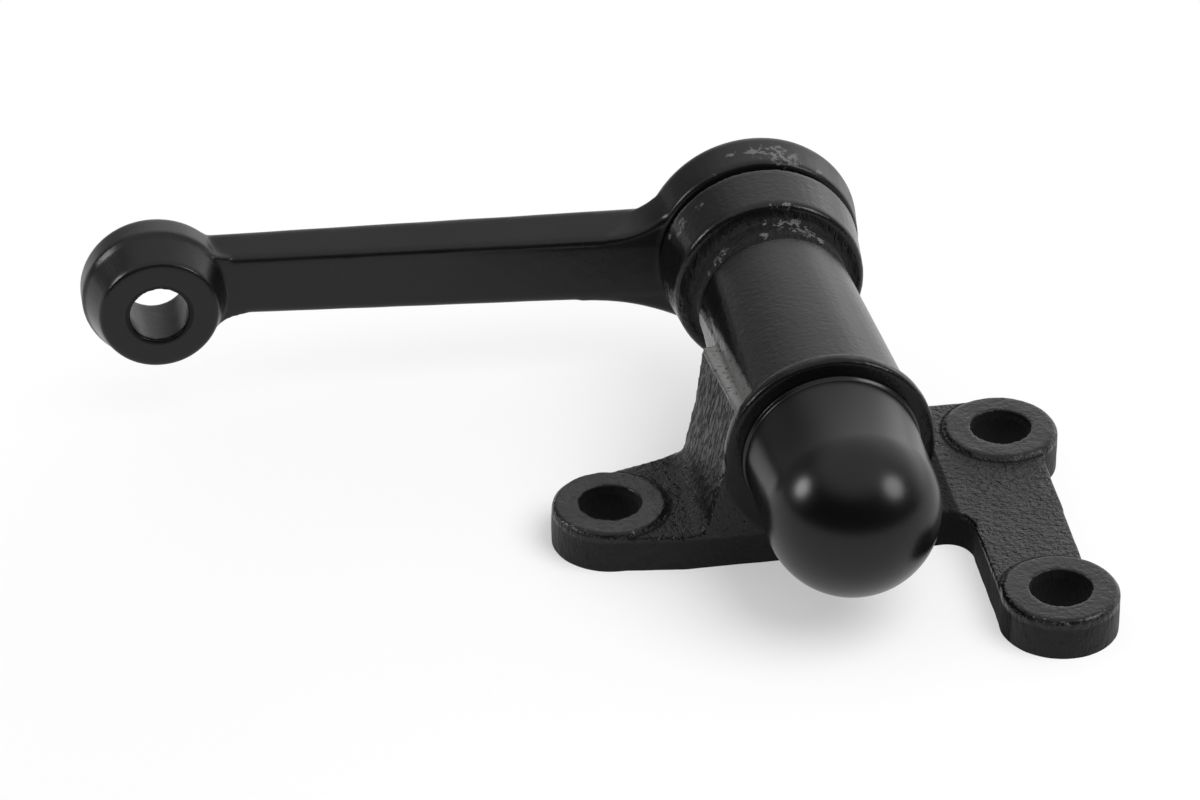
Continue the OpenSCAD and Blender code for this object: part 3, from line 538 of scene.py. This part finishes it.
lamps = {
    "leftBox": {"place": (-0.80, 0.09, 0.42), "size": 0.30, "watts": 2.6, "shows": True},
    "rightBox": {"place": (0.66, -0.34, 0.60), "size": 0.40, "watts": 3.4, "shows": True},
    "topFill": {"place": (0.52, -0.42, 1.10), "size": 1.1, "watts": 13.5, "shows": False},
}
lampTarget = Vector((0, 0.02, 0.02))
for lampName, s in lamps.items():
    lamp = bpy.data.lights.new(lampName, "AREA")
    lamp.shape = "DISK"
    lamp.size = s["size"]
    lamp.energy = s["watts"]
    lampObject = bpy.data.objects.new(lampName, lamp)
    lampObject.location = s["place"]
    lampObject.rotation_euler = (lampTarget - Vector(s["place"])).to_track_quat("-Z", "Y").to_euler()
    lampObject.visible_glossy = s["shows"]  # the boxes only make highlights, the fill only makes light and shade
    lampObject.visible_diffuse = not s["shows"]
    bpy.context.scene.collection.objects.link(lampObject)

room = {"front": 0.02, "backLeft": 0.28, "backRight": 1.3, "top": 1.0, "card": 0.4, "soft": 0.5}


def makeRoom():  # a light tent: white behind, dimmer to the left and above, dark on the camera's side
    world = bpy.data.worlds.new("lightTent")
    bpy.context.scene.world = world
    world.use_nodes = True
    tree = world.node_tree
    tree.nodes.clear()
    place = addNode(tree, "ShaderNodeTexCoord")
    xyz = addNode(tree, "ShaderNodeSeparateXYZ", None, {0: (place, "Generated")})
    back = addNode(tree, "ShaderNodeMapRange", softStep,
                   {"Value": (xyz, "X"), "From Min": -0.6, "From Max": 0.2,
                    "To Min": room["backLeft"], "To Max": room["backRight"]})
    depth = addNode(tree, "ShaderNodeMapRange", softStep, {"Value": (xyz, "Y"), "From Min": -0.3, "From Max": 0.5})
    wall = addNode(tree, "ShaderNodeMix", numbers, {0: (depth, 0), 2: room["front"], 3: (back, 0)})
    rise = addNode(tree, "ShaderNodeMapRange", softStep, {"Value": (xyz, "Z"), "From Min": 0.6, "From Max": 0.9})
    level = addNode(tree, "ShaderNodeMix", numbers, {0: (rise, 0), 2: (wall, 0), 3: room["top"]})
    cardAcross = addNode(tree, "ShaderNodeMapRange", softStep, {"Value": (xyz, "X"), "From Min": 0.3, "From Max": 0.55})
    cardDown = addNode(tree, "ShaderNodeMapRange", softStep, {"Value": (xyz, "Z"), "From Min": 0.45, "From Max": 0.2})
    cardPlace = addNode(tree, "ShaderNodeMath", multiply, {0: (cardAcross, 0), 1: (cardDown, 0)})
    card = addNode(tree, "ShaderNodeMath", multiply, {0: (cardPlace, 0), 1: (depth, 0)})  # low on the right, behind
    tent = addNode(tree, "ShaderNodeMath", multiplyAdd, {0: (card, 0), 1: room["card"], 2: (level, 0)})
    path = addNode(tree, "ShaderNodeLightPath")
    lit = addNode(tree, "ShaderNodeMix", numbers, {0: (path, "Is Diffuse Ray"), 2: (tent, 0), 3: room["soft"]})
    sky = addNode(tree, "ShaderNodeBackground", None, {"Color": (1, 1, 1, 1), "Strength": (lit, 0)})
    addNode(tree, "ShaderNodeOutputWorld", None, {"Surface": (sky, 0)})


makeRoom()

view = {"place": (-193.1, -883.2, 611.6), "tilt": 57.18, "turn": -9.52, "lens": 158.7}
camera = bpy.data.cameras.new("photoView")
camera.sensor_width = 36.0
camera.lens = view["lens"]
camera.clip_start = 0.01
camera.clip_end = 50.0
cameraObject = bpy.data.objects.new("photoView", camera)
cameraObject.location = [v * mm for v in view["place"]]
cameraObject.rotation_euler = (math.radians(view["tilt"]), 0, math.radians(view["turn"]))
bpy.context.scene.collection.objects.link(cameraObject)
bpy.context.scene.camera = cameraObject
bpy.context.scene.view_settings.view_transform = "Standard"
print("stage set")
